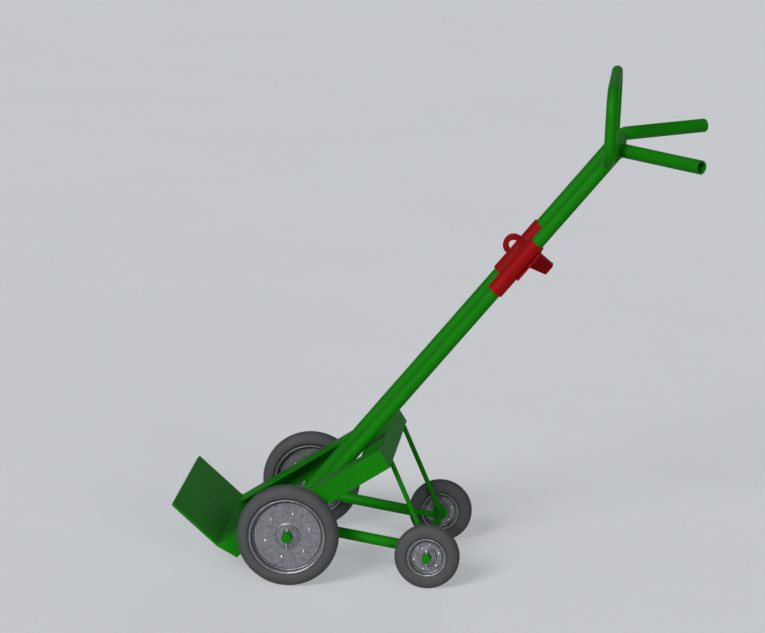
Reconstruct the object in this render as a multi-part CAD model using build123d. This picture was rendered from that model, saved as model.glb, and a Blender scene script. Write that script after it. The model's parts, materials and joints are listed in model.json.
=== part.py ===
from build123d import *
from dataclasses import dataclass
from math import cos, radians, sin, tan
import os

# Drum trolley: a sloping tube frame on two large and two small wheels, and a hook that slides on the rails.
# Millimetres. X runs back from the toe to the handles, Y runs across, Z is up and the floor is at Z = 0.
# Left and right are the operator's, standing behind the handles: left is -Y and right is +Y.

# Axles and wheel positions
MAIN_AXLE_DIA = 25.0
REAR_AXLE_DIA = 22.0
AXLE_DISTANCE = 339.0
AXLE_CHAMFER = 2.0
AXLE_TIP = 15.0
PIN_OFFSET = 5.5

# Large wheels
MAIN_WHEEL_DIA = 250.0
MAIN_TYRE_WIDTH = 50.0
MAIN_SHOULDER = 20.0
MAIN_SEAT_DIA = 182.0
MAIN_LIP_DIA = 187.5
MAIN_RIM_WIDTH = 43.0
MAIN_SHEET = 2.5
MAIN_PRESS_RADIUS = 2.5
MAIN_HUB_DIA = 53.0
MAIN_HUB_INSIDE = 22.0
MAIN_HUB_OUTSIDE = 10.5
MAIN_BUSH_DIA = 38.0
MAIN_RIVET_CIRCLE = 112.0

# Small wheels
REAR_WHEEL_DIA = 160.0
REAR_TYRE_WIDTH = 42.0
REAR_SHOULDER = 18.0
REAR_SEAT_DIA = 90.0
REAR_LIP_DIA = 96.0
REAR_RIM_WIDTH = 36.0
REAR_SHEET = 2.0
REAR_PRESS_RADIUS = 2.0
REAR_HUB_DIA = 43.0
REAR_HUB_INSIDE = 17.5
REAR_HUB_OUTSIDE = 8.6
REAR_BUSH_DIA = 30.0
REAR_RIVET_CIRCLE = 63.0

# Pressed forms of every wheel disc: the groove inside the wall, and ratios to the sheet thickness
GROOVE_WIDTH = 4.4
DISH_RATIO = 1.6
NECK_RATIO = 2.0
FOLD_RATIO = 0.25
EDGE_RATIO = 0.4

# Rivets, washers and split pins
RIVET_COUNT = 6
RIVET_PHASE = 18.0
RIVET_DIA = 5.0
RIVET_HEAD_DIA = 8.0
RIVET_HEAD_HEIGHT = 2.4
HEAD_ROUNDING = 0.8
MAIN_SPACER_DIA = 38.0
MAIN_SPACER_LENGTH = 9.6
WASHER_MARGIN = 3.0
WASHER_THICKNESS = 3.0
PIN_DIA = 4.0
PIN_EYE_DIA = 4.4
PIN_WIRE_DIA = 2.2
MAIN_PIN_DROP = 15.0
MAIN_PIN_TAIL = 11.0
REAR_PIN_DROP = 10.0
REAR_PIN_TAIL = 6.0
PIN_TAIL_TURN = 45.0
PIN_BEND = 4.0

# Fits
RUNNING_CLEARANCE = 0.05
SIDE_PLAY = 0.4
WASHER_CLEARANCE = 0.25
PIN_CLEARANCE = 0.1
SLEEVE_CLEARANCE = 0.35

# Steel angle of the base frame
FRAME_WIDTH = 462.0
BAR_SLOPE = 34.4
BAR_HEIGHT = 50.0
BAR_FLANGE = 60.0
BAR_THICKNESS = 5.0
BAR_FRONT = 169.0
BAR_AXLE_SEAT = 1.5
BAR_RAIL_SEAT = 0.7

# Toe plate
TOE_LENGTH = 150.0
TOE_THICKNESS = 6.0
TOE_SLOPE = 40.0
TOE_LIP_SLOPE = 26.6
TOE_CORNER = 8.0

# Rails, handles, handle cross tube and hoop
RAIL_DIA = 33.7
RAIL_WALL = 4.0
RAIL_SPACING = 228.0
RAIL_SLOPE = 52.45
RAIL_LENGTH = 1227.0
RAIL_BEND = 28.0
HANDLE_LENGTH = 269.5
HANDLE_FLARE = 42.4
HANDLE_RISE = 0.35
CROSS_TUBE_DIA = 26.9
CROSS_TUBE_WALL = 2.6
HOOP_DIA = 26.9
HOOP_WALL = 2.6
HOOP_OVERHANG = 86.0
HOOP_HEIGHT = 178.0
HOOP_CORNER = 60.0
HOOP_SETBACK = 35.0

# Rear axle support
SUPPORT_INSET = 75.0
SUPPORT_TUBE_DIA = 26.9
SUPPORT_TUBE_WALL = 2.6
SUPPORT_TUBE_LENGTH = 272.0
SUPPORT_ROD_DIA = 15.0
SUPPORT_PLUG_LENGTH = 25.0
COLLAR_DIA = 38.0
COLLAR_LENGTH = 8.0
COLLAR_MARGIN = 1.0
STRUT_DIA = 12.0
STRUT_STEP = 19.1
STRUT_TRAIL = 4.5

# Hook carriage
CARRIAGE_HEIGHT = 765.0
SLEEVE_DIA = 42.4
SLEEVE_LENGTH = 158.0
PLATE_HEIGHT = 85.0
PLATE_DROP = 14.0
PLATE_OVERHANG = 14.0
PLATE_THICKNESS = 5.0
PLATE_SEAT = 1.0
HOOK_THICKNESS = 14.0
HOOK_OUTER_RADIUS = 26.5
HOOK_INNER_RADIUS = 12.5
HOOK_DROP = 61.5
HOOK_REACH = 30.5
HOOK_TIP_RADIUS = 5.0
SHANK_HEIGHT = 41.5
SHANK_SHOULDER = 12.0
GRIP_WIDTH = 30.0
GRIP_LENGTH = 52.0
GRIP_DROP = 1.5
GRIP_ROOT_HEIGHT = 44.0
GRIP_TIP_HEIGHT = 28.0
GRIP_ROUNDING = 4.0


@dataclass
class WheelSize:
    """Sizes of one wheel, all in its own frame with the axle along Y."""

    diameter: float
    tyre_width: float
    shoulder: float
    seat_dia: float
    lip_dia: float
    rim_width: float
    sheet: float
    press_radius: float
    hub_dia: float
    hub_inside: float
    hub_outside: float
    bush_dia: float
    rivet_circle: float
    axle_dia: float

    @property
    def dish(self):
        """How far the inner face of each disc's web stands off the middle of the wheel."""
        return self.sheet * DISH_RATIO

    @property
    def web(self):
        """How far the outer face of each disc's web stands off the middle of the wheel."""
        return self.dish + self.sheet


MAIN_WHEEL = WheelSize(
    MAIN_WHEEL_DIA, MAIN_TYRE_WIDTH, MAIN_SHOULDER, MAIN_SEAT_DIA, MAIN_LIP_DIA, MAIN_RIM_WIDTH, MAIN_SHEET,
    MAIN_PRESS_RADIUS, MAIN_HUB_DIA, MAIN_HUB_INSIDE, MAIN_HUB_OUTSIDE, MAIN_BUSH_DIA, MAIN_RIVET_CIRCLE,
    MAIN_AXLE_DIA,
)
REAR_WHEEL = WheelSize(
    REAR_WHEEL_DIA, REAR_TYRE_WIDTH, REAR_SHOULDER, REAR_SEAT_DIA, REAR_LIP_DIA, REAR_RIM_WIDTH, REAR_SHEET,
    REAR_PRESS_RADIUS, REAR_HUB_DIA, REAR_HUB_INSIDE, REAR_HUB_OUTSIDE, REAR_BUSH_DIA, REAR_RIVET_CIRCLE,
    REAR_AXLE_DIA,
)

# Axle centres and the stations across the trolley
main_axle = Vector(0, 0, MAIN_WHEEL_DIA / 2)
rear_axle = Vector(AXLE_DISTANCE, 0, REAR_WHEEL_DIA / 2)
frame_side = FRAME_WIDTH / 2
rail_side = RAIL_SPACING / 2
support_side = frame_side - SUPPORT_INSET
spacer_end = frame_side + MAIN_SPACER_LENGTH
strut_side = support_side + STRUT_STEP
collar_start = strut_side + STRUT_DIA / 2 + COLLAR_MARGIN
collar_end = collar_start + COLLAR_LENGTH
main_wheel_side = spacer_end + SIDE_PLAY + MAIN_HUB_INSIDE
rear_wheel_side = collar_end + WASHER_THICKNESS + SIDE_PLAY + REAR_HUB_INSIDE
main_washer_start = main_wheel_side + MAIN_HUB_OUTSIDE + SIDE_PLAY
rear_washer_start = rear_wheel_side + REAR_HUB_OUTSIDE + SIDE_PLAY
main_pin_side = main_washer_start + WASHER_THICKNESS + PIN_OFFSET
rear_pin_side = rear_washer_start + WASHER_THICKNESS + PIN_OFFSET

# The base plane lies along the side bars and the rail plane along the rails, both through the main axle
slope = radians(BAR_SLOPE)
base = Plane(origin=main_axle, x_dir=(cos(slope), 0, sin(slope)), z_dir=(-sin(slope), 0, cos(slope)))
pitch = radians(RAIL_SLOPE)
rails = Plane(origin=main_axle, x_dir=(cos(pitch), 0, sin(pitch)), z_dir=(-sin(pitch), 0, cos(pitch)))
profile = Plane(origin=main_axle, x_dir=rails.x_dir, z_dir=(0, -1, 0))

# Heights of the steel angle above the base plane, and the rear edge that lets the cross bar cradle the rails
bar_low = MAIN_AXLE_DIA / 2 - BAR_AXLE_SEAT
bar_high = bar_low + BAR_HEIGHT
rail_tilt = radians(RAIL_SLOPE - BAR_SLOPE)
flange_front = (bar_high + (RAIL_DIA / 2 - BAR_RAIL_SEAT) / cos(rail_tilt)) / tan(rail_tilt)
bar_rear = flange_front + BAR_FLANGE

# Inner line of the toe plate's bend, at the front upper corner of the side bars
toe_crease = base.from_local_coords(Vector(-BAR_FRONT, 0, bar_high))

# Bend of the rails and the end of the right handle
flare = radians(HANDLE_FLARE)
rise = radians(HANDLE_RISE)
handle_way = Vector(cos(flare) * cos(rise), sin(flare) * cos(rise), sin(rise))
rail_foot = rails.from_local_coords(Vector(0, rail_side, 0))
rail_corner = rails.from_local_coords(Vector(RAIL_LENGTH, rail_side, 0))
handle_end = rail_corner + handle_way * HANDLE_LENGTH


def bar_between(start, end, radius):
    """Round bar from one point to another."""
    run = end - start
    seat = Plane(origin=start, z_dir=run)
    return seat * Cylinder(radius, run.length, align=(Align.CENTER, Align.CENTER, Align.MIN))


def tube_between(start, end, outer_dia, wall):
    """Straight tube from one point to another."""
    return bar_between(start, end, outer_dia / 2) - bar_between(start, end, outer_dia / 2 - wall)


def across(centre, y_from, y_to, radius):
    """Round bar along Y, between two stations across the trolley."""
    return bar_between(centre + Vector(0, y_from, 0), centre + Vector(0, y_to, 0), radius)


def ring(centre, y_from, y_to, outer_dia, inner_dia):
    """Flat ring or sleeve along Y."""
    return across(centre, y_from, y_to, outer_dia / 2) - across(centre, y_from, y_to, inner_dia / 2)


def swept(path, dia):
    """Round bar that follows a path of straight runs and arcs."""
    return sweep(Plane(origin=path @ 0, z_dir=path % 0) * Circle(dia / 2), path=path)


def mirrored(shape):
    """The same piece on the other side of the trolley."""
    return mirror(shape, about=Plane.XZ)


def corner_of(sketch, point):
    """The corner of a sketch that lies at a point of its plane."""
    return sketch.vertices().sort_by_distance(point)[0]


# Solid forms that other pieces are cut to fit
main_axle_end = main_pin_side + AXLE_TIP
rear_axle_end = rear_pin_side + AXLE_TIP
main_axle_core = across(main_axle, -main_axle_end, main_axle_end, MAIN_AXLE_DIA / 2)
rear_axle_core = across(rear_axle, -rear_axle_end, rear_axle_end, REAR_AXLE_DIA / 2)
rail_path = FilletPolyline(rail_foot, rail_corner, handle_end, radius=RAIL_BEND)
right_rail_core = swept(rail_path, RAIL_DIA)
left_rail_core = mirrored(right_rail_core)


def make_axle(core, centre, dia, pin_side):
    """Axle with chamfered ends and an upright hole for a split pin near each end."""
    ends = core.edges().filter_by(GeomType.CIRCLE)
    axle = chamfer(ends, AXLE_CHAMFER)
    hole = Cylinder(PIN_DIA / 2 + PIN_CLEARANCE, 2 * dia)
    for side in (-pin_side, pin_side):
        axle -= Pos(centre + Vector(0, side, 0)) * hole
    return axle


def make_split_pin(axle_dia, drop, tail):
    """Split pin with a small eye on top and its tail bent back below the axle."""
    top = Vector(0, 0, axle_dia / 2 + PIN_WIRE_DIA)
    knee = Vector(0, 0, -axle_dia / 2 - drop)
    turn = radians(PIN_TAIL_TURN)
    tip = knee + Vector(sin(turn), 0, -cos(turn)) * tail
    shank = swept(FilletPolyline(top, knee, tip, radius=PIN_BEND), PIN_DIA)
    eye = Rot(90, 0, 0) * Torus(PIN_EYE_DIA / 2, PIN_WIRE_DIA / 2)
    return shank + Pos(top + Vector(0, 0, PIN_EYE_DIA / 2)) * eye


def on_both_sides(pieces):
    """A group of like pieces at both ends of an axle."""
    return Compound([*pieces, *(mirrored(piece) for piece in pieces)])


def make_rail():
    """Right rail: a tube coped over the main axle, bent outward at the top into an open handle."""
    return right_rail_core - swept(rail_path, RAIL_DIA - 2 * RAIL_WALL) - main_axle_core


def make_cross_tube():
    """Tube across the trolley between the bends of the two rails."""
    bend_arc = rail_path.edges().filter_by(GeomType.CIRCLE)[0]
    middle = bend_arc @ 0.5
    left = Vector(middle.X, -middle.Y, middle.Z)
    return tube_between(left, middle, CROSS_TUBE_DIA, CROSS_TUBE_WALL) - right_rail_core - left_rail_core


def make_hoop():
    """Upright hoop with rounded corners, butted on the outer sides of the rails."""
    foot = rails.from_local_coords(Vector(RAIL_LENGTH - HOOP_SETBACK, rail_side, 0))
    side = rail_side + HOOP_OVERHANG
    low = foot.Z
    high = foot.Z + HOOP_HEIGHT
    outline = [(rail_side, low), (side, low), (side, high)]
    outline += [(-y, z) for y, z in reversed(outline)]
    path = FilletPolyline(*[(foot.X, y, z) for y, z in outline], radius=HOOP_CORNER)
    hoop = swept(path, HOOP_DIA) - swept(path, HOOP_DIA - 2 * HOOP_WALL)
    return hoop - right_rail_core - left_rail_core


def angle_piece(flange_outline, leg_outline):
    """Steel angle from the plan of its upper flange and of its upright leg, in the base plane."""
    flange = base.offset(bar_high - BAR_THICKNESS) * make_face(Polyline(*flange_outline, close=True))
    leg = base.offset(bar_low) * make_face(Polyline(*leg_outline, close=True))
    return extrude(flange, BAR_THICKNESS) + extrude(leg, BAR_HEIGHT)


def make_side_bar():
    """Right side bar: mitred at the rear, cut to the toe plate's lip in front and seated on the main axle."""
    front = -BAR_FRONT - BAR_FLANGE

    def plan(width):
        inner = frame_side - width
        return [(front, frame_side), (bar_rear, frame_side), (bar_rear - width, inner), (front, inner)]

    bar = angle_piece(plan(BAR_FLANGE), plan(BAR_THICKNESS))
    lip = radians(TOE_LIP_SLOPE)
    cut = Plane(origin=toe_crease, z_dir=(-sin(lip), 0, -cos(lip)))
    return split(bar, bisect_by=cut, keep=Keep.BOTTOM) - main_axle_core


def make_cross_bar():
    """Rear cross bar: mitred to the side bars, its flange notched to cradle the rails."""

    def plan(width):
        front = bar_rear - width
        inner = frame_side - width
        return [(bar_rear, -frame_side), (bar_rear, frame_side), (front, inner), (front, -inner)]

    return angle_piece(plan(BAR_FLANGE), plan(BAR_THICKNESS)) - right_rail_core - left_rail_core


def make_toe_plate():
    """Bent plate: a lip on the front ends of the side bars, and the toe that the load stands on."""
    crease = Vector(toe_crease.X, toe_crease.Z)
    lip = radians(TOE_LIP_SLOPE)
    toe = radians(TOE_SLOPE)
    lip_length = BAR_HEIGHT / sin(slope + lip)
    lip_way = Vector(cos(lip), -sin(lip))
    toe_way = Vector(-cos(toe), sin(toe))
    lip_under = Vector(-sin(lip), -cos(lip)) * TOE_THICKNESS
    toe_under = Vector(-sin(toe), -cos(toe)) * TOE_THICKNESS
    mitre = (lip_under + toe_under) / (1 + cos(toe - lip))
    lip_end = crease + lip_way * lip_length
    toe_end = crease + toe_way * TOE_LENGTH
    outline = [crease, lip_end, lip_end + lip_under, crease + mitre, toe_end + toe_under, toe_end]
    side_view = Plane.XZ * make_face(Polyline(*outline, close=True))
    plate = extrude(side_view, frame_side, both=True)
    front_corners = plate.edges().filter_by(Axis((0, 0, 0), (sin(toe), 0, cos(toe)))).group_by(Axis.X)[0]
    return fillet(front_corners, TOE_CORNER)


def support_point(reach):
    """Point on the right support, a distance back from the main axle towards the rear axle."""
    way = (rear_axle - main_axle).normalized()
    return main_axle + way * reach + Vector(0, support_side, 0)


def make_support_tube():
    """Right support tube, coped over the main axle."""
    end = support_point(SUPPORT_TUBE_LENGTH)
    return tube_between(support_point(0), end, SUPPORT_TUBE_DIA, SUPPORT_TUBE_WALL) - main_axle_core


def make_support_plug():
    """Ring that holds the right support rod in the end of its tube."""
    bore = SUPPORT_TUBE_DIA - 2 * SUPPORT_TUBE_WALL
    start = support_point(SUPPORT_TUBE_LENGTH - SUPPORT_PLUG_LENGTH)
    return tube_between(start, support_point(SUPPORT_TUBE_LENGTH), bore, (bore - SUPPORT_ROD_DIA) / 2)


def make_support_rod():
    """Right support rod, from the plug to the rear axle."""
    start = support_point(SUPPORT_TUBE_LENGTH - SUPPORT_PLUG_LENGTH)
    end = support_point((rear_axle - main_axle).length)
    return bar_between(start, end, SUPPORT_ROD_DIA / 2) - rear_axle_core


def make_strut():
    """Right strut, from the lower edge of the rear cross bar to the rear axle."""
    edge = base.from_local_coords(Vector(bar_rear - BAR_THICKNESS / 2, strut_side, bar_low))
    foot = rear_axle + Vector(STRUT_TRAIL, strut_side, 0)
    over = edge + (edge - foot).normalized() * STRUT_DIA
    edge_plane = Plane(origin=edge, z_dir=base.z_dir)
    rod = split(bar_between(over, foot, STRUT_DIA / 2), bisect_by=edge_plane, keep=Keep.BOTTOM)
    return rod - rear_axle_core


def revolved(corners):
    """Body of revolution about Y from corners of (radius, station, rounding)."""
    section = make_face(Polyline(*[(radius, station) for radius, station, _ in corners], close=True))
    for radius, station, rounding in corners:
        if rounding:
            section = fillet(corner_of(section, (radius, station)), rounding)
    return revolve(section, axis=Axis.Y)


def make_tyre(size):
    """Tyre that sits between the lips of the rim, with rounded shoulders."""
    seat = size.seat_dia / 2
    lip = size.lip_dia / 2
    tread = size.diameter / 2
    side = size.tyre_width / 2
    bead = size.rim_width / 2 - size.sheet
    flank = lip + side - bead
    upper = [(seat, bead, 0), (lip, bead, 0), (flank, side, size.press_radius), (tread, side, size.shoulder)]
    lower = [(radius, -station, rounding) for radius, station, rounding in reversed(upper)]
    return revolved(upper + lower)


def rivet_points(size):
    """Centres of the rivets round one wheel."""
    for index in range(RIVET_COUNT):
        turn = radians(RIVET_PHASE + index * 360 / RIVET_COUNT)
        yield Pos(size.rivet_circle / 2 * cos(turn), 0, size.rivet_circle / 2 * sin(turn))


def make_disc(size):
    """Pressed half rim on the +Y side: a raised web with a neck, a groove, and a wall with a lip."""
    sheet = size.sheet
    hub = size.hub_dia / 2
    neck = hub + sheet
    neck_end = size.web + sheet * NECK_RATIO
    seat = size.seat_dia / 2
    wall = seat - sheet
    web_edge = wall - GROOVE_WIDTH
    lip = size.lip_dia / 2
    side = size.rim_width / 2
    bend = size.press_radius
    fold = sheet * FOLD_RATIO
    edge = sheet * EDGE_RATIO
    under = [
        (hub, size.dish, 0),
        (web_edge - sheet, size.dish, fold),
        (web_edge - sheet, 0, fold + sheet),
        (seat, 0, bend + sheet),
        (seat, side - sheet, 0),
        (lip, side - sheet, edge),
    ]
    over = [
        (lip, side, edge),
        (wall, side, sheet),
        (wall, sheet, bend),
        (web_edge, sheet, fold),
        (web_edge, size.web, fold + sheet),
        (neck, size.web, bend),
        (neck, neck_end, edge),
        (hub, neck_end, 0),
    ]
    disc = revolved(under + over)
    hole = Rot(90, 0, 0) * Cylinder(RIVET_DIA / 2, size.rim_width)
    for place in rivet_points(size):
        disc -= place * hole
    return disc


def make_rivets(size):
    """Domed rivets through the webs of the two half rims, each with a shoulder that keeps the webs apart."""
    head = Cylinder(RIVET_HEAD_DIA / 2, RIVET_HEAD_HEIGHT, align=(Align.CENTER, Align.CENTER, Align.MIN))
    head = fillet(head.edges().group_by(Axis.Z)[-1], RIVET_HEAD_HEIGHT * HEAD_ROUNDING)
    upper = Pos(0, 0, size.web) * head
    rivet = Cylinder(RIVET_DIA / 2, 2 * size.web) + upper + mirror(upper, about=Plane.XY)
    rivet += Cylinder(RIVET_HEAD_DIA / 2, 2 * size.dish)
    return Compound([place * Rot(90, 0, 0) * rivet for place in rivet_points(size)])


def make_wheel(name, size, centre, side):
    """All pieces of one wheel, by name. The side is +1 on the right and -1 on the left."""
    start = -side * size.hub_inside
    end = side * size.hub_outside
    origin = Vector(0, 0, 0)
    outer = make_disc(size)
    inner = mirrored(outer)
    if side < 0:
        outer, inner = inner, outer
    pieces = {
        "tyre": make_tyre(size),
        "outer_disc": outer,
        "inner_disc": inner,
        "hub": ring(origin, start, end, size.hub_dia, size.bush_dia),
        "bush": ring(origin, start, end, size.bush_dia, size.axle_dia + 2 * RUNNING_CLEARANCE),
        "rivets": make_rivets(size),
    }
    return {f"{name}_{piece}": Pos(centre) * shape for piece, shape in pieces.items()}


def make_sleeve():
    """Right sleeve of the hook carriage, round the rail."""
    low = rails.from_local_coords(Vector(CARRIAGE_HEIGHT, rail_side, 0))
    high = rails.from_local_coords(Vector(CARRIAGE_HEIGHT + SLEEVE_LENGTH, rail_side, 0))
    wall = (SLEEVE_DIA - RAIL_DIA) / 2 - SLEEVE_CLEARANCE
    return tube_between(low, high, SLEEVE_DIA, wall)


# Stations of the hook carriage: along the rails from the main axle, and out from their axes towards the load
sleeve_top = CARRIAGE_HEIGHT + SLEEVE_LENGTH
plate_high = sleeve_top - PLATE_DROP
plate_front = PLATE_SEAT - SLEEVE_DIA / 2
plate_back = plate_front - PLATE_THICKNESS
hook_along = sleeve_top - HOOK_DROP
shank_high = hook_along + HOOK_OUTER_RADIUS
shank_low = shank_high - SHANK_HEIGHT


def make_carriage_plate():
    """Plate across the back of the two sleeves."""
    width = RAIL_SPACING + 2 * PLATE_OVERHANG
    plate = Box(PLATE_HEIGHT, width, PLATE_THICKNESS, align=(Align.MAX, Align.CENTER, Align.MAX))
    plate = rails * Pos(plate_high, 0, plate_front) * plate
    for side in (-rail_side, rail_side):
        low = rails.from_local_coords(Vector(CARRIAGE_HEIGHT, side, 0))
        high = rails.from_local_coords(Vector(sleeve_top, side, 0))
        plate -= bar_between(low, high, SLEEVE_DIA / 2)
    return plate


def make_rim_hook():
    """Hook that drops over the rim of the load, cut from plate, with its shank on the carriage plate."""
    eye = (hook_along, HOOK_REACH)
    throat = (hook_along, HOOK_REACH - HOOK_INNER_RADIUS)
    tip_inner = (hook_along - HOOK_INNER_RADIUS, HOOK_REACH)
    tip_outer = (hook_along - HOOK_OUTER_RADIUS, HOOK_REACH)
    shoulder = (shank_low, SHANK_SHOULDER)
    edges = [
        Line((shank_low, plate_front), shoulder),
        Line(shoulder, throat),
        CenterArc(eye, HOOK_INNER_RADIUS, -90, 270),
        Line(tip_inner, tip_outer),
        CenterArc(eye, HOOK_OUTER_RADIUS, 180, -180),
        Line((shank_high, HOOK_REACH), (shank_high, plate_front)),
        Line((shank_high, plate_front), (shank_low, plate_front)),
    ]
    outline = make_face(edges)
    for point in (tip_inner, tip_outer, shoulder):
        outline = fillet(corner_of(outline, point), HOOK_TIP_RADIUS)
    return extrude(profile * outline, HOOK_THICKNESS / 2, both=True)


def make_carriage_grip():
    """Grip behind the carriage plate, for lifting the carriage: straight on top and tapered below."""
    top = shank_high - GRIP_DROP
    tip = plate_back - GRIP_LENGTH
    outline = [(top - GRIP_ROOT_HEIGHT, plate_back), (top, plate_back)]
    outline += [(top, tip), (top - GRIP_TIP_HEIGHT, tip)]
    grip = extrude(profile * make_face(Polyline(*outline, close=True)), GRIP_WIDTH / 2, both=True)
    far_face = grip.faces().sort_by(Axis((0, 0, 0), rails.z_dir))[0]
    return fillet(far_face.edges(), GRIP_ROUNDING)


def make_nodes():
    """Every piece of the trolley, by name."""
    nodes = {
        "main_axle": make_axle(main_axle_core, main_axle, MAIN_AXLE_DIA, main_pin_side),
        "rear_axle": make_axle(rear_axle_core, rear_axle, REAR_AXLE_DIA, rear_pin_side),
        "handle_cross_tube": make_cross_tube(),
        "handle_hoop": make_hoop(),
        "rear_cross_bar": make_cross_bar(),
        "toe_plate": make_toe_plate(),
        "carriage_plate": make_carriage_plate(),
        "rim_hook": make_rim_hook(),
        "carriage_grip": make_carriage_grip(),
    }
    right_pieces = {
        "rail": make_rail(),
        "side_bar": make_side_bar(),
        "support_tube": make_support_tube(),
        "support_plug": make_support_plug(),
        "support_rod": make_support_rod(),
        "strut": make_strut(),
        "axle_collar": ring(rear_axle, collar_start, collar_end, COLLAR_DIA, REAR_AXLE_DIA),
        "sleeve": make_sleeve(),
    }
    for name, piece in right_pieces.items():
        nodes[f"right_{name}"] = piece
        nodes[f"left_{name}"] = mirrored(piece)

    main_hole = MAIN_AXLE_DIA + 2 * WASHER_CLEARANCE
    rear_hole = REAR_AXLE_DIA + 2 * WASHER_CLEARANCE
    main_washer_dia = MAIN_HUB_DIA - 2 * WASHER_MARGIN
    rear_washer_dia = REAR_HUB_DIA - 2 * WASHER_MARGIN
    main_washer_end = main_washer_start + WASHER_THICKNESS
    rear_washer_end = rear_washer_start + WASHER_THICKNESS
    collar_washer_end = collar_end + WASHER_THICKNESS
    spacer = ring(main_axle, frame_side, spacer_end, MAIN_SPACER_DIA, main_hole)
    main_washer = ring(main_axle, main_washer_start, main_washer_end, main_washer_dia, main_hole)
    rear_washer = ring(rear_axle, rear_washer_start, rear_washer_end, rear_washer_dia, rear_hole)
    collar_washer = ring(rear_axle, collar_end, collar_washer_end, rear_washer_dia, rear_hole)
    main_pin = make_split_pin(MAIN_AXLE_DIA, MAIN_PIN_DROP, MAIN_PIN_TAIL)
    rear_pin = make_split_pin(REAR_AXLE_DIA, REAR_PIN_DROP, REAR_PIN_TAIL)
    main_pin = Pos(main_axle + Vector(0, main_pin_side, 0)) * main_pin
    rear_pin = Pos(rear_axle + Vector(0, rear_pin_side, 0)) * rear_pin
    nodes["main_axle_spacers"] = on_both_sides([spacer])
    nodes["main_axle_washers"] = on_both_sides([main_washer])
    nodes["rear_axle_washers"] = on_both_sides([collar_washer, rear_washer])
    nodes["main_split_pins"] = on_both_sides([main_pin])
    nodes["rear_split_pins"] = on_both_sides([rear_pin])

    for hand, side in (("left", -1), ("right", 1)):
        main_centre = main_axle + Vector(0, side * main_wheel_side, 0)
        rear_centre = rear_axle + Vector(0, side * rear_wheel_side, 0)
        nodes.update(make_wheel(f"{hand}_main", MAIN_WHEEL, main_centre, side))
        nodes.update(make_wheel(f"{hand}_rear", REAR_WHEEL, rear_centre, side))
    return nodes


# The origin is on the floor, under the middle of the whole trolley
nodes = make_nodes()
reach = Compound(list(nodes.values())).bounding_box()
to_middle = Pos(-(reach.min.X + reach.max.X) / 2, 0, 0)
os.makedirs("parts", exist_ok=True)
for node_name, node_shape in nodes.items():
    export_step(to_middle * node_shape, f"parts/{node_name}.step")
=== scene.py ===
import json
from bisect import bisect_right
from math import cos, pi, radians, sin

import bpy
from mathutils import Matrix, Vector
from mathutils.bvhtree import BVHTree


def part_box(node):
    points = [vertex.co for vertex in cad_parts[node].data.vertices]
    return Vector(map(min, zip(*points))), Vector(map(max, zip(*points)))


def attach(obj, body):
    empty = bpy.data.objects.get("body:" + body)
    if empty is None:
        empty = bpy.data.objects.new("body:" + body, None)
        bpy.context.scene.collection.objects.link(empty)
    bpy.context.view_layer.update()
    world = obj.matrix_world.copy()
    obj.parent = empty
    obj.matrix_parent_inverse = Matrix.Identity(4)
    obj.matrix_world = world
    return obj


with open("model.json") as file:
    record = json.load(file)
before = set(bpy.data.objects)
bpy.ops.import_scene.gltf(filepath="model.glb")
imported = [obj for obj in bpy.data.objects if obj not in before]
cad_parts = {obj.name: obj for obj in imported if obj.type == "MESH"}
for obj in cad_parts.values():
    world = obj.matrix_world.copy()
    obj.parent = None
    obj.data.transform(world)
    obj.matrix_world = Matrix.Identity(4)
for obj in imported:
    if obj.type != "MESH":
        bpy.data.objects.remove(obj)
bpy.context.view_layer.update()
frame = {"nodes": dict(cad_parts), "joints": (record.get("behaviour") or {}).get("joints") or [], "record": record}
nodes = frame["nodes"]
joints = {joint["name"]: joint for joint in frame["joints"]}

# Camera, set from the main axle's middle
CAMERA_FROM_AXLE = Vector((0.9365, -8.9770, 2.5591))
CAMERA_AZIMUTH = radians(4.779)
CAMERA_ELEVATION = radians(12.876)
CAMERA_ROLL = radians(2.542)
CAMERA_SENSOR = 36.0
CAMERA_LENS = 175.9

# Colours, linear
GREEN = (0.0045, 0.1700, 0.0012)
RED = (0.2580, 0.0026, 0.0034)
RUBBER_GREY = (0.057, 0.058, 0.061)
GALVANISED = (0.226, 0.230, 0.245)
ZINC = (0.540, 0.545, 0.560)
BUSH_GREY = (0.045, 0.045, 0.048)
PRIMER = (0.200, 0.200, 0.190)
FLOOR_COLOUR = (0.420, 0.426, 0.440)

# Ranges that values are moved from and to
RISING = (0.0, 1.0)
FALLING = (1.0, 0.0)
NOISE_RANGE = (0.3, 0.7)
NOISE_ROUGHNESS = 0.55
EDGE_RANGE = (0.70, 0.97)
EDGE_SAMPLES = 6

# Sockets of the colour mix node
MIX_FIRST = 6
MIX_SECOND = 7
MIX_RESULT = 2

# Paint: patch sizes in metres, tones as factors of the colour, relief as depth and strength
PAINT_EDGE = 0.0012
PAINT_CLOUD = 0.11
PAINT_TONES = (0.927, 1.053)
PAINT_CHIP = 0.009
PAINT_CHIP_RANGE = (0.54, 0.64)
PAINT_CHIP_SHARES = (0.0, 0.35)
PAINT_SPECK = 0.006
PAINT_SPECK_RANGE = (0.35, 0.65)
PAINT_ROUGHNESS = (0.46, 0.56)
PAINT_PEEL = 0.0016
PAINT_RELIEF = (0.00016, 0.35)
PAINT_SPECULAR = 0.08

# Rubber
RUBBER_MOTTLE = 0.03
RUBBER_TONES = (0.90, 1.10)
RUBBER_ROUGHNESS = (0.68, 0.80)
RUBBER_DUST = 0.012
RUBBER_DUST_RANGE = (0.56, 0.72)
RUBBER_DUST_SHARES = (0.0, 0.22)
RUBBER_DUST_TONE = 1.7
RUBBER_GRIT = 0.0011
RUBBER_RELIEF = (0.00025, 0.30)
RUBBER_SPECULAR = 0.35

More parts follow.
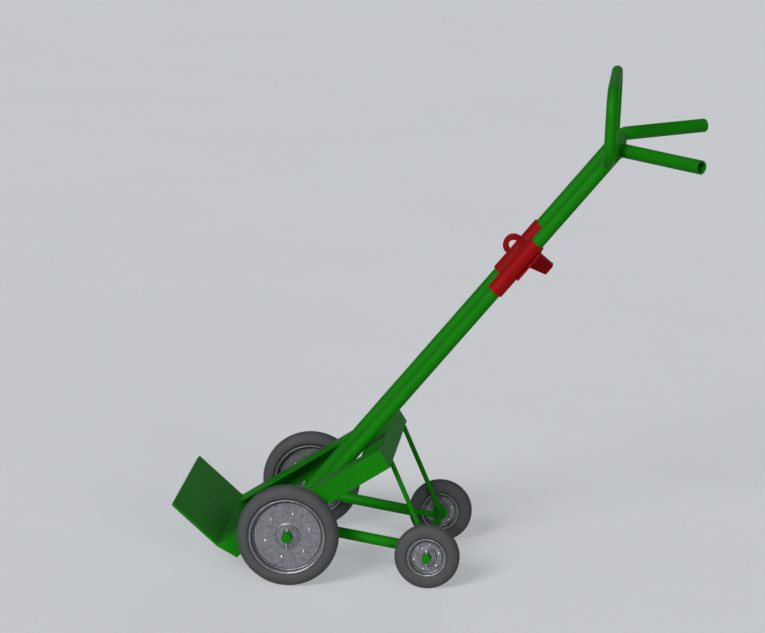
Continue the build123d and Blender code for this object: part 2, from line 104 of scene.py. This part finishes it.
# Galvanised sheet
SHEET_EDGE = 0.0008
SHEET_CRYSTAL = 0.0048
SHEET_CRYSTAL_SHARE = 0.55
SHEET_SMALL_CRYSTAL = 0.0024
SHEET_SMALL_SHARE = 0.25
SHEET_CLOUD = 0.02
SHEET_CLOUD_SHARE = 0.30
SHEET_TONES = (0.62, 1.42)
SHEET_ROUGHNESS = (0.34, 0.50)
SHEET_RELIEF = (0.00008, 0.25)
SHEET_METALLIC = 0.85

# Zinc plating
ZINC_EDGE = 0.0004
ZINC_HAZE = 0.004
ZINC_TONES = (0.85, 1.12)
ZINC_ROUGHNESS = (0.18, 0.30)
ZINC_RELIEF = (0.00004, 0.2)
ZINC_METALLIC = 1.0

# Bush plastic
BUSH_PATCH = 0.008
BUSH_TONES = (0.85, 1.2)
BUSH_ROUGHNESS = (0.48, 0.60)
BUSH_GRAIN = 0.0012
BUSH_RELIEF = (0.0001, 0.3)

# Sizes of welded pieces that their boxes don't give
BAR_SLOPE = radians(34.4)
BAR_THICKNESS = 0.005
TOE_LIP_SLOPE = radians(26.6)
STRUT_TRAIL = 0.0045
SHANK_HEIGHT = 0.0415

# Weld beads
BEAD_RADIUS = 0.0022
BEAD_RESOLUTION = 2
BEAD_STEP = 0.0009
BEAD_LEAST_STEPS = 6
BEAD_PITCH = 0.0042
BEAD_RIPPLE = 0.14
BEAD_TAPER = 0.005
BEAD_END = 0.5
BEAD_TURNS = 96
BEAD_LEAST_TURNS = 3
BEAD_REACH = 0.06
CORNER_STEP = 0.003

# Lengths and places of seams that meet a flat face
AXLE_SEAM_HALF_TURN = radians(28.0)
STRUT_SEAM_HALF = 0.0048
LIP_SEAM_START = 0.006
RAIL_SEAM_OFFSET = 0.0055
RAIL_SEAM_LENGTH = 0.011
RAIL_SEAM_INWARD = 0.00275
SLEEVE_SEAM_OFFSET = 0.0064

# Studio
FLOOR_REACH = 60.0
FLOOR_CLOUD = 0.8
FLOOR_TONES = (0.99, 1.01)
FLOOR_ROUGHNESS = 0.7
FLOOR_SPECULAR = 0.1
FLOOR_GLOW = 0.33
WORLD_COLOUR = (0.92, 0.95, 1.0)
WORLD_STRENGTH = 0.08
WORLD_SEEN = 0.22
KEY_FROM = (-0.36, -0.80, 0.47)
KEY_STRENGTH = 2.5
FILL_FROM = (0.50, -0.82, 0.28)
FILL_STRENGTH = 1.0
GLINT_FROM = (-0.30, -0.35, 0.89)
GLINT_STRENGTH = 1.2
BACK_FROM = (0.05, 0.99, 0.12)
BACK_STRENGTH = 1.8
SUN_ANGLE = radians(22.0)


# Node helpers

def new_material(name):
    """A node material, its tree and its main shader."""
    material = bpy.data.materials.new(name)
    material.use_nodes = True
    return material, material.node_tree, material.node_tree.nodes["Principled BSDF"]


def put(tree, kind, values=None, **settings):
    """A new node with its settings and the constant values of its sockets."""
    made = tree.nodes.new(kind)
    for key, value in settings.items():
        setattr(made, key, value)
    for socket, value in (values or {}).items():
        made.inputs[socket].default_value = value
    return made


def remap(tree, value, source, target):
    """A value moved from one range to another, and held inside it."""
    made = put(tree, "ShaderNodeMapRange", {
        "From Min": source[0],
        "From Max": source[1],
        "To Min": target[0],
        "To Max": target[1],
    })
    tree.links.new(value, made.inputs["Value"])
    return made.outputs[0]


def combine(tree, operation, first, second):
    """One arithmetic step on two values, each a socket or a number."""
    made = put(tree, "ShaderNodeMath", operation=operation)
    for index, value in enumerate((first, second)):
        if isinstance(value, float):
            made.inputs[index].default_value = value
        else:
            tree.links.new(value, made.inputs[index])
    return made.outputs[0]


def mix_colour(tree, share, first, second):
    """Two colours mixed by a share, each a socket or a linear colour."""
    made = put(tree, "ShaderNodeMix", data_type="RGBA")
    tree.links.new(share, made.inputs[0])
    for index, colour in ((MIX_FIRST, first), (MIX_SECOND, second)):
        if isinstance(colour, tuple):
            made.inputs[index].default_value = (*colour, 1.0)
        else:
            tree.links.new(colour, made.inputs[index])
    return made.outputs[MIX_RESULT]


def shade(colour, factor):
    """A colour made lighter or darker."""
    return tuple(channel * factor for channel in colour)


def toned(tree, share, colour, tones):
    """A colour that goes from its darker to its lighter tone."""
    return mix_colour(tree, share, shade(colour, tones[0]), shade(colour, tones[1]))


def object_coords(tree):
    """Coordinates that move with the piece, in metres."""
    return put(tree, "ShaderNodeTexCoord").outputs["Object"]


def noise(tree, coords, size, detail=3.0):
    """Noise whose patches are about one size across, in metres."""
    values = {"Scale": 1.0 / size, "Detail": detail, "Roughness": NOISE_ROUGHNESS}
    made = put(tree, "ShaderNodeTexNoise", values)
    tree.links.new(coords, made.inputs["Vector"])
    return made.outputs[0]


def patches(tree, coords, size, detail=3.0):
    """Noise spread over the whole range of a share."""
    return remap(tree, noise(tree, coords, size, detail), NOISE_RANGE, RISING)


def crystals(tree, coords, size):
    """Three random values that hold over each crystal, in crystals of about one size."""
    texture = put(tree, "ShaderNodeTexVoronoi", {"Scale": 1.0 / size})
    values = put(tree, "ShaderNodeSeparateColor")
    tree.links.new(coords, texture.inputs["Vector"])
    tree.links.new(texture.outputs["Color"], values.inputs[0])
    return values.outputs


def bump(tree, height, relief, normal=None):
    """Bump from a height, on top of another normal where one is given."""
    depth, strength = relief
    made = put(tree, "ShaderNodeBump", {"Strength": strength, "Distance": depth})
    tree.links.new(height, made.inputs["Height"])
    if normal is not None:
        tree.links.new(normal, made.inputs["Normal"])
    return made.outputs["Normal"]


def rounded_edges(tree, radius):
    """The normal of slightly rounded edges."""
    return put(tree, "ShaderNodeBevel", {"Radius": radius}, samples=EDGE_SAMPLES).outputs["Normal"]


def edge_nearness(tree, rounded):
    """How near a point is to an edge, from how far the rounded normal turns away from the plain one."""
    agree = put(tree, "ShaderNodeVectorMath", operation="DOT_PRODUCT")
    tree.links.new(rounded, agree.inputs[0])
    tree.links.new(put(tree, "ShaderNodeNewGeometry").outputs["Normal"], agree.inputs[1])
    return remap(tree, agree.outputs["Value"], EDGE_RANGE, FALLING)


# Materials

def painted_metal(name, colour):
    """Sprayed paint: orange peel, uneven depth of colour, and chips to the primer along the edges."""
    material, tree, shader = new_material(name)
    coords = object_coords(tree)
    rounded = rounded_edges(tree, PAINT_EDGE)
    paint = toned(tree, patches(tree, coords, PAINT_CLOUD), colour, PAINT_TONES)
    ragged = remap(tree, noise(tree, coords, PAINT_CHIP, detail=6.0), PAINT_CHIP_RANGE, PAINT_CHIP_SHARES)
    chips = combine(tree, "MULTIPLY", edge_nearness(tree, rounded), ragged)
    speck = noise(tree, coords, PAINT_SPECK, detail=5.0)
    peel = noise(tree, coords, PAINT_PEEL, detail=1.5)
    tree.links.new(mix_colour(tree, chips, paint, PRIMER), shader.inputs["Base Color"])
    tree.links.new(remap(tree, speck, PAINT_SPECK_RANGE, PAINT_ROUGHNESS), shader.inputs["Roughness"])
    tree.links.new(bump(tree, peel, PAINT_RELIEF, rounded), shader.inputs["Normal"])
    shader.inputs["Specular IOR Level"].default_value = PAINT_SPECULAR
    return material


def tyre_rubber():
    """Grey moulded rubber with a fine skin, faint mottling and paler dust."""
    material, tree, shader = new_material("tyre_rubber")
    coords = object_coords(tree)
    mottle = patches(tree, coords, RUBBER_MOTTLE, detail=5.0)
    rubber = toned(tree, mottle, RUBBER_GREY, RUBBER_TONES)
    dust = remap(tree, noise(tree, coords, RUBBER_DUST, detail=6.0), RUBBER_DUST_RANGE, RUBBER_DUST_SHARES)
    dusty = mix_colour(tree, dust, rubber, shade(RUBBER_GREY, RUBBER_DUST_TONE))
    grit = noise(tree, coords, RUBBER_GRIT, detail=4.0)
    tree.links.new(dusty, shader.inputs["Base Color"])
    tree.links.new(remap(tree, mottle, RISING, RUBBER_ROUGHNESS), shader.inputs["Roughness"])
    tree.links.new(bump(tree, grit, RUBBER_RELIEF), shader.inputs["Normal"])
    shader.inputs["Specular IOR Level"].default_value = RUBBER_SPECULAR
    return material


def galvanised_sheet():
    """Hot-dip zinc: flat crystals of uneven brightness over pressed sheet."""
    material, tree, shader = new_material("galvanised_sheet")
    coords = object_coords(tree)
    rounded = rounded_edges(tree, SHEET_EDGE)
    large = crystals(tree, coords, SHEET_CRYSTAL)
    small = crystals(tree, coords, SHEET_SMALL_CRYSTAL)
    cloud = noise(tree, coords, SHEET_CLOUD, detail=4.0)
    bright = combine(tree, "MULTIPLY", large[0], SHEET_CRYSTAL_SHARE)
    for value, share in ((small[0], SHEET_SMALL_SHARE), (cloud, SHEET_CLOUD_SHARE)):
        bright = combine(tree, "ADD", bright, combine(tree, "MULTIPLY", value, share))
    tree.links.new(toned(tree, bright, GALVANISED, SHEET_TONES), shader.inputs["Base Color"])
    tree.links.new(remap(tree, large[1], RISING, SHEET_ROUGHNESS), shader.inputs["Roughness"])
    tree.links.new(bump(tree, bright, SHEET_RELIEF, rounded), shader.inputs["Normal"])
    shader.inputs["Metallic"].default_value = SHEET_METALLIC
    return material


def zinc_steel():
    """Bright zinc plating with a slight haze."""
    material, tree, shader = new_material("zinc_steel")
    coords = object_coords(tree)
    rounded = rounded_edges(tree, ZINC_EDGE)
    haze = patches(tree, coords, ZINC_HAZE, detail=5.0)
    tree.links.new(toned(tree, haze, ZINC, ZINC_TONES), shader.inputs["Base Color"])
    tree.links.new(remap(tree, haze, RISING, ZINC_ROUGHNESS), shader.inputs["Roughness"])
    tree.links.new(bump(tree, haze, ZINC_RELIEF, rounded), shader.inputs["Normal"])
    shader.inputs["Metallic"].default_value = ZINC_METALLIC
    return material


def bush_plastic():
    """Dark moulded plastic with a fine grain."""
    material, tree, shader = new_material("bush_plastic")
    coords = object_coords(tree)
    patch = patches(tree, coords, BUSH_PATCH)
    grain = noise(tree, coords, BUSH_GRAIN)
    tree.links.new(toned(tree, patch, BUSH_GREY, BUSH_TONES), shader.inputs["Base Color"])
    tree.links.new(remap(tree, patch, RISING, BUSH_ROUGHNESS), shader.inputs["Roughness"])
    tree.links.new(bump(tree, grain, BUSH_RELIEF), shader.inputs["Normal"])
    return material


def dress_nodes(materials):
    """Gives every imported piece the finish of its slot."""
    for entry in frame["record"]["subparts"]:
        node = nodes[entry["node"]]
        node.data.materials.clear()
        node.data.materials.append(materials[entry["material_slot"]])


# Ways, and places of the axles, read from the joints

back_way = Vector((1, 0, 0))
across_way = Vector((0, 1, 0))
up_way = Vector((0, 0, 1))
middle_plane = back_way + up_way
main_axle_at = Vector(joints["left_main_wheel_spin"]["pos_m"]) * middle_plane
rear_axle_at = Vector(joints["left_rear_wheel_spin"]["pos_m"]) * middle_plane
rail_way = Vector(joints["carriage_slide"]["axis"]).normalized()
load_way = rail_way.cross(across_way)
support_way = (rear_axle_at - main_axle_at).normalized()
bar_way = Vector((cos(BAR_SLOPE), 0, sin(BAR_SLOPE)))
bar_up = Vector((-sin(BAR_SLOPE), 0, cos(BAR_SLOPE)))


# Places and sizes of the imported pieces

def on_rails(along, side, out):
    """A point given along the rails, across the trolley and out towards the load."""
    return main_axle_at + rail_way * along + across_way * side + load_way * out


def on_bars(along, side, up):
    """A point given along the side bars, across the trolley and up from them."""
    return main_axle_at + bar_way * along + across_way * side + bar_up * up


def middle(name):
    """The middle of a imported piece's box."""
    low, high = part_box(name)
    return (Vector(low) + Vector(high)) / 2


def reach(name, way):
    """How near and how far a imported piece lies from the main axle, along a way."""
    distances = [(vertex.co - main_axle_at).dot(way) for vertex in nodes[name].data.vertices]
    return min(distances), max(distances)


def half_width(name, way):
    """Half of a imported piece's width along a way."""
    near, far = reach(name, way)
    return (far - near) / 2


rail_side = middle("right_sleeve").y
frame_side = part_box("right_side_bar")[1][1]
bar_inside = frame_side - BAR_THICKNESS
bar_low, bar_high = reach("right_side_bar", bar_up)
bar_front, bar_rear = reach("right_side_bar", bar_way)


# Paths of weld seams, each a list of points with a mark whether it is closed

def meeting(target, centre, way, radius):
    """Seams where a round piece, running along a way to a centre, meets a target piece."""
    mesh = nodes[target].data
    surface = BVHTree.FromPolygons([v.co for v in mesh.vertices], [p.vertices for p in mesh.polygons])
    side = way.orthogonal().normalized()
    other = way.cross(side)
    hits = []
    for index in range(BEAD_TURNS):
        turn = 2 * pi * index / BEAD_TURNS
        start = centre + (side * cos(turn) + other * sin(turn)) * radius - way * BEAD_REACH
        hits.append(surface.ray_cast(start, way, 2 * BEAD_REACH)[0])
    if None not in hits:
        return [(hits, True)]
    gap = hits.index(None)
    runs = [[]]
    for hit in hits[gap:] + hits[:gap]:
        if hit is None:
            runs.append([])
        else:
            runs[-1].append(hit)
    return [(run, False) for run in runs if len(run) >= BEAD_LEAST_TURNS]


def round_points(centre, first, second, radius, turns):
    """Points round a centre, each turned from the first direction towards the second."""
    return [centre + (first * cos(turn) + second * sin(turn)) * radius for turn in turns]


def ring(centre, first, second, radius):
    """A closed round seam."""
    turns = [pi * (2 * index / BEAD_TURNS - 1) for index in range(BEAD_TURNS)]
    return [(round_points(centre, first, second, radius, turns), True)]


def arc(centre, first, second, radius, half_turn):
    """A round seam to both sides of its first direction."""
    turns = [half_turn * (2 * index / BEAD_TURNS - 1) for index in range(BEAD_TURNS + 1)]
    return [(round_points(centre, first, second, radius, turns), False)]


def line(start, end):
    """A straight seam."""
    return [([start, end], False)]


def loop(corners):
    """A closed seam round some corners, which it takes a little rounded."""
    points = []
    for before, corner, after in zip(corners[-1:] + corners[:-1], corners, corners[1:] + corners[:1]):
        first = corner + (before - corner).normalized() * CORNER_STEP
        last = corner + (after - corner).normalized() * CORNER_STEP
        points += [first, (first + last) / 4 + corner / 2, last]
    return [(points, True)]


# Seams of the frame

def rail_seams(hand, side):
    """Round the foot of a rail, and round the hoop and the cross tube on it."""
    out = across_way * side
    rail = f"{hand}_rail"
    hoop_radius = half_width("handle_hoop", back_way)
    hoop_along = reach("handle_hoop", rail_way)[0] + hoop_radius
    tube_radius = half_width("handle_cross_tube", up_way)
    seams = meeting("main_axle", main_axle_at + out * rail_side, -rail_way, reach(rail, load_way)[1])
    seams += meeting(rail, on_rails(hoop_along, side * rail_side, 0), -out, hoop_radius)
    seams += meeting(rail, middle("handle_cross_tube") + out * rail_side, out, tube_radius)
    return seams


def support_seams(hand, side):
    """Round both ends of a support tube, the rod's rear end and the collar's inner edge."""
    out = across_way * side
    tube = f"{hand}_support_tube"
    tube_at = across_way * middle(tube).y
    tube_end = main_axle_at + tube_at + support_way * reach(tube, support_way)[1]
    rod_radius = half_width(f"{hand}_support_rod", across_way)
    collar_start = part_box("right_axle_collar")[0][1]
    seams = meeting("main_axle", main_axle_at + tube_at, -support_way, half_width(tube, across_way))
    seams += ring(tube_end, across_way, support_way.cross(across_way), rod_radius)
    seams += meeting("rear_axle", rear_axle_at + tube_at, support_way, rod_radius)
    seams += ring(rear_axle_at + out * collar_start, back_way, up_way, half_width("rear_axle", up_way))
    return seams


def strut_seams(hand, side):
    """Round the foot of a strut, and along both sides of its top."""
    out = across_way * side
    strut = f"{hand}_strut"
    strut_side = middle(strut).y
    foot = rear_axle_at + across_way * strut_side + back_way * STRUT_TRAIL
    top = on_bars(bar_rear - BAR_THICKNESS / 2, strut_side, bar_low)
    seams = meeting("rear_axle", foot, (foot - top).normalized(), half_width(strut, across_way))
    for edge in (bar_rear - BAR_THICKNESS, bar_rear):
        seat = on_bars(edge, strut_side, bar_low)
        seams += line(seat - out * STRUT_SEAM_HALF, seat + out * STRUT_SEAM_HALF)
    return seams


def bar_seams(side):
    """On the main axle, up the mitred corner, and beside the rail on the cross bar."""
    out = across_way * side
    axle_radius = half_width("main_axle", up_way)
    flange_front = reach("rear_cross_bar", bar_way)[0]
    corner = on_bars(bar_rear - BAR_THICKNESS, side * bar_inside, bar_low)
    seams = arc(main_axle_at + out * bar_inside, bar_up, bar_way, axle_radius, AXLE_SEAM_HALF_TURN)
    seams += line(corner, corner + bar_up * (bar_high - bar_low - BAR_THICKNESS))
    for edge in (-1, 1):
        front = on_bars(flange_front, side * rail_side + edge * RAIL_SEAM_OFFSET, bar_high)
        seams += line(front, front + bar_way * RAIL_SEAM_LENGTH - across_way * edge * RAIL_SEAM_INWARD)
    return seams


def toe_seams(side):
    """Along the toe plate's crease, and down its lip inside a side bar."""
    flange_side = reach("right_side_bar", across_way)[0]
    lip_way = Vector((cos(TOE_LIP_SLOPE), 0, -sin(TOE_LIP_SLOPE)))
    lip_depth = (bar_high - bar_low) / sin(BAR_SLOPE + TOE_LIP_SLOPE)
    inside = on_bars(bar_front, side * bar_inside, bar_high)
    crease = [on_bars(bar_front, side * edge, bar_high) for edge in (frame_side, flange_side)]
    seams = line(*crease)
    seams += line(inside + lip_way * LIP_SEAM_START, inside + lip_way * lip_depth)
    return seams


def frame_seams():
    """Every welded seam of the frame."""
    seams = []
    for hand, side in (("left", -1), ("right", 1)):
        seams += rail_seams(hand, side) + support_seams(hand, side) + strut_seams(hand, side)
        seams += bar_seams(side) + toe_seams(side)
    return seams


# Seams of the hook carriage

def carriage_seams():
    """Every welded seam of the hook carriage."""
    plate_low, plate_high = reach("carriage_plate", rail_way)
    plate_back, plate_front = reach("carriage_plate", load_way)
    shank_high = reach("rim_hook", rail_way)[1]
    grip_low, grip_high = reach("carriage_grip", rail_way)
    seams = []
    for side in (-rail_side, rail_side):
        for edge in (side - SLEEVE_SEAM_OFFSET, side + SLEEVE_SEAM_OFFSET):
            seams += line(on_rails(plate_low, edge, plate_front), on_rails(plate_high, edge, plate_front))
    for name, low, high, face in (
        ("rim_hook", shank_high - SHANK_HEIGHT, shank_high, plate_front),
        ("carriage_grip", grip_low, grip_high, plate_back),
    ):
        half = half_width(name, across_way)
        corners = ((low, -half), (low, half), (high, half), (high, -half))
        seams += loop([on_rails(*corner, face) for corner in corners])
    return seams


# Weld beads

def evenly(points, closed):
    """Points at even steps along a seam, each with its distance from the start, and the seam's length."""
    points = points + points[:1] if closed else points
    marks = [0.0]
    for start, end in zip(points, points[1:]):
        marks.append(marks[-1] + (end - start).length)
    count = max(BEAD_LEAST_STEPS, round(marks[-1] / BEAD_STEP))
    steps = []
    for index in range(count if closed else count + 1):
        at = marks[-1] * index / count
        leg = min(bisect_right(marks, at), len(points) - 1) - 1
        share = (at - marks[leg]) / (marks[leg + 1] - marks[leg])
        steps.append((points[leg].lerp(points[leg + 1], share), at))
    return steps, marks[-1]


def make_welds(name, body, material, seams):
    """Rippled beads along welded seams, as one mesh that rides on a body."""
    curve = bpy.data.curves.new(name, "CURVE")
    curve.dimensions = "3D"
    curve.bevel_depth = BEAD_RADIUS
    curve.bevel_resolution = BEAD_RESOLUTION
    curve.use_fill_caps = True
    for points, closed in seams:
        steps, length = evenly(points, closed)
        spline = curve.splines.new("POLY")
        spline.points.add(len(steps) - 1)
        spline.use_cyclic_u = closed
        for dot, (place, at) in zip(spline.points, steps):
            taper = 1.0 if closed else min(1.0, BEAD_END + min(at, length - at) / BEAD_TAPER)
            dot.co = (*place, 1.0)
            dot.radius = taper * (1.0 + BEAD_RIPPLE * abs(sin(pi * at / BEAD_PITCH)))
    drawn = bpy.data.objects.new(f"{name}_path", curve)
    mesh = bpy.data.meshes.new_from_object(drawn)
    bpy.data.objects.remove(drawn)
    bpy.data.curves.remove(curve)
    mesh.materials.clear()
    mesh.materials.append(material)
    mesh.shade_smooth()
    beads = bpy.data.objects.new(name, mesh)
    bpy.context.scene.collection.objects.link(beads)
    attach(beads, body)


# Floor, light and camera

def seen_share(tree):
    """One where a surface is seen, straight or in a reflection, and nothing where it only lights others."""
    rays = put(tree, "ShaderNodeLightPath")
    mirrored = combine(tree, "MAXIMUM", rays.outputs["Is Glossy Ray"], rays.outputs["Is Transmission Ray"])
    return combine(tree, "MAXIMUM", rays.outputs["Is Camera Ray"], mirrored)


def make_floor():
    """Plain pale floor that carries the shadow, with a faint unevenness."""
    bpy.ops.mesh.primitive_plane_add(size=FLOOR_REACH)
    floor = bpy.context.object
    floor.name = "studio_floor"
    material, tree, shader = new_material("studio_floor")
    cloud = patches(tree, object_coords(tree), FLOOR_CLOUD)
    glow = remap(tree, seen_share(tree), RISING, (0.0, FLOOR_GLOW))
    tree.links.new(toned(tree, cloud, FLOOR_COLOUR, FLOOR_TONES), shader.inputs["Base Color"])
    tree.links.new(glow, shader.inputs["Emission Strength"])
    shader.inputs["Emission Color"].default_value = (*WORLD_COLOUR, 1.0)
    shader.inputs["Roughness"].default_value = FLOOR_ROUGHNESS
    shader.inputs["Specular IOR Level"].default_value = FLOOR_SPECULAR
    floor.data.materials.append(material)


def make_sun(name, place, strength, shading=True, glare=True):
    """Broad soft light from a far place, with or without its share of the shading and of the glare."""
    data = bpy.data.lights.new(name, "SUN")
    data.energy = strength
    data.angle = SUN_ANGLE
    sun = bpy.data.objects.new(name, data)
    sun.rotation_euler = (Vector(place) * -1).to_track_quat("-Z", "Y").to_euler()
    sun.visible_diffuse = shading
    sun.visible_glossy = glare
    bpy.context.scene.collection.objects.link(sun)


def make_world():
    """Even pale light from all round, which looks brighter than it lights."""
    world = bpy.data.worlds.new("studio")
    world.use_nodes = True
    tree = world.node_tree
    background = tree.nodes["Background"]
    background.inputs["Color"].default_value = (*WORLD_COLOUR, 1.0)
    strength = remap(tree, seen_share(tree), RISING, (WORLD_STRENGTH, WORLD_SEEN))
    tree.links.new(strength, background.inputs["Strength"])
    bpy.context.scene.world = world


def make_camera():
    """Camera at the photograph's angle, with its slight roll."""
    data = bpy.data.cameras.new("camera")
    data.sensor_fit = "HORIZONTAL"
    data.sensor_width = CAMERA_SENSOR
    data.lens = CAMERA_LENS
    data.clip_end = FLOOR_REACH * 2
    camera = bpy.data.objects.new("camera", data)
    back = Vector((
        sin(CAMERA_AZIMUTH) * cos(CAMERA_ELEVATION),
        -cos(CAMERA_AZIMUTH) * cos(CAMERA_ELEVATION),
        sin(CAMERA_ELEVATION),
    ))
    level = Vector((cos(CAMERA_AZIMUTH), sin(CAMERA_AZIMUTH), 0.0))
    upright = back.cross(level)
    right = level * cos(CAMERA_ROLL) + upright * sin(CAMERA_ROLL)
    up = upright * cos(CAMERA_ROLL) - level * sin(CAMERA_ROLL)
    turn = Matrix((right, up, back)).transposed().to_4x4()
    camera.matrix_world = Matrix.Translation(main_axle_at + CAMERA_FROM_AXLE) @ turn
    bpy.context.scene.collection.objects.link(camera)
    bpy.context.scene.camera = camera


finishes = {
    "green_paint": painted_metal("green_paint", GREEN),
    "red_paint": painted_metal("red_paint", RED),
    "tyre_rubber": tyre_rubber(),
    "galvanised_sheet": galvanised_sheet(),
    "zinc_steel": zinc_steel(),
    "bush_plastic": bush_plastic(),
}
dress_nodes(finishes)
make_welds("frame_welds", "frame", finishes["green_paint"], frame_seams())
make_welds("carriage_welds", "hook_carriage", finishes["red_paint"], carriage_seams())
make_floor()
make_sun("key", KEY_FROM, KEY_STRENGTH)
make_sun("fill", FILL_FROM, FILL_STRENGTH, glare=False)
make_sun("back", BACK_FROM, BACK_STRENGTH, glare=False)
make_sun("glint", GLINT_FROM, GLINT_STRENGTH, shading=False)
make_world()
make_camera()
bpy.context.scene.view_settings.view_transform = "Standard"
